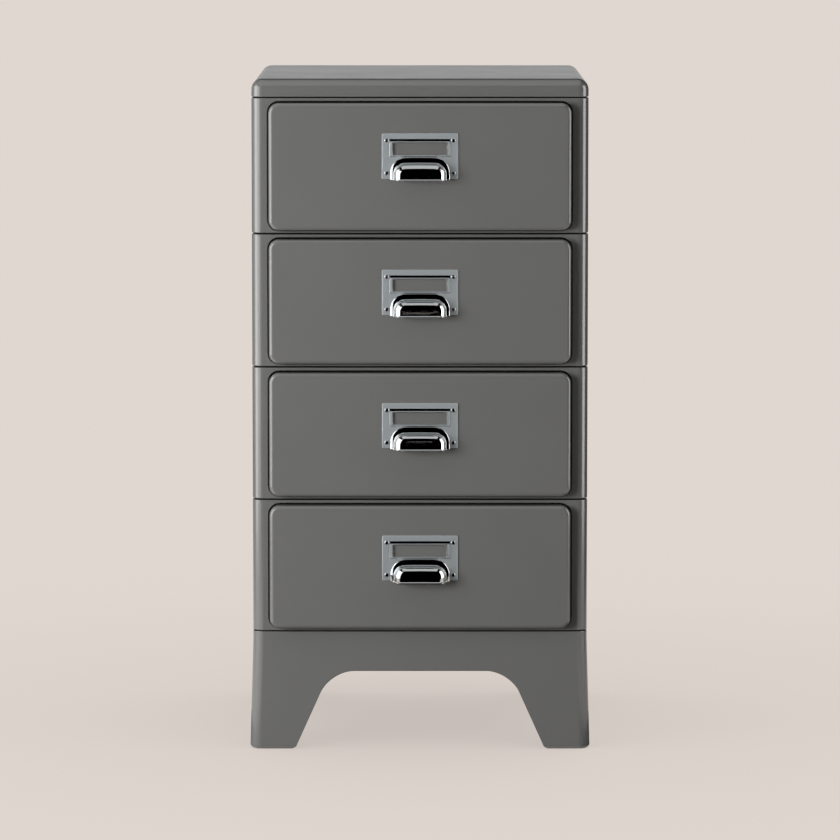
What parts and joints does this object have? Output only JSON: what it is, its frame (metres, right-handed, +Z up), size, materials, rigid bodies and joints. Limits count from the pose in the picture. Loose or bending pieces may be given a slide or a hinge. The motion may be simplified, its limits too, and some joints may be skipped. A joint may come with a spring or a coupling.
{
  "type": "drawer cabinet",
  "caption": "Small steel drawer cabinet: stacked tiers with one sliding drawer each, card-holder cup pulls, rounded cap and a flared base with arches.",
  "frame": {"origin": "on the floor, under the centre of the whole cabinet's box", "axes": "+Z up, +X to the right as seen from in front, the drawers face -Y"},
  "size_m": [0.3668, 0.4134, 0.7224],
  "materials": {
    "enamel": "satin",
    "seam_steel": "matte",
    "zinc_steel": "satin",
    "nylon": "matte",
    "rubber": "matte",
    "pull_chrome": "polished",
    "screw_chrome": "polished"
  },
  "bodies": {
    "case": {"top_cap": "enamel", "top_panel": "seam_steel", "tier_dividers": "seam_steel", "floor_panel": "seam_steel", "base": "enamel", "rear_buffers": "rubber", "tier_shell_1": "enamel", "back_panel_1": "enamel", "bay_frame_1": "enamel", "runner_posts_1": "zinc_steel", "case_runners_1": "zinc_steel", "runner_glides_1": "nylon", "tier_shell_2": "enamel", "back_panel_2": "enamel", "bay_frame_2": "enamel", "runner_posts_2": "zinc_steel", "case_runners_2": "zinc_steel", "runner_glides_2": "nylon", "tier_shell_3": "enamel", "back_panel_3": "enamel", "bay_frame_3": "enamel", "runner_posts_3": "zinc_steel", "case_runners_3": "zinc_steel", "runner_glides_3": "nylon", "tier_shell_4": "enamel", "back_panel_4": "enamel", "bay_frame_4": "enamel", "runner_posts_4": "zinc_steel", "case_runners_4": "zinc_steel", "runner_glides_4": "nylon"},
    "drawer_1": {"drawer_front_1": "enamel", "front_liner_1": "enamel", "drawer_tray_1": "enamel", "drawer_rails_1": "zinc_steel", "drawer_glides_1": "nylon", "pull_1": "pull_chrome", "pull_screws_1": "screw_chrome"},
    "drawer_2": {"drawer_front_2": "enamel", "front_liner_2": "enamel", "drawer_tray_2": "enamel", "drawer_rails_2": "zinc_steel", "drawer_glides_2": "nylon", "pull_2": "pull_chrome", "pull_screws_2": "screw_chrome"},
    "drawer_3": {"drawer_front_3": "enamel", "front_liner_3": "enamel", "drawer_tray_3": "enamel", "drawer_rails_3": "zinc_steel", "drawer_glides_3": "nylon", "pull_3": "pull_chrome", "pull_screws_3": "screw_chrome"},
    "drawer_4": {"drawer_front_4": "enamel", "front_liner_4": "enamel", "drawer_tray_4": "enamel", "drawer_rails_4": "zinc_steel", "drawer_glides_4": "nylon", "pull_4": "pull_chrome", "pull_screws_4": "screw_chrome"}
  },
  "joints": [
    {"name": "drawer_slide_1", "type": "slide", "parent": "case", "child": "drawer_1", "axis": [0, -1, 0], "range_m": [0, 0.29]},
    {"name": "drawer_slide_2", "type": "slide", "parent": "case", "child": "drawer_2", "axis": [0, -1, 0], "range_m": [0, 0.29]},
    {"name": "drawer_slide_3", "type": "slide", "parent": "case", "child": "drawer_3", "axis": [0, -1, 0], "range_m": [0, 0.29]},
    {"name": "drawer_slide_4", "type": "slide", "parent": "case", "child": "drawer_4", "axis": [0, -1, 0], "range_m": [0, 0.29]}
  ]
}
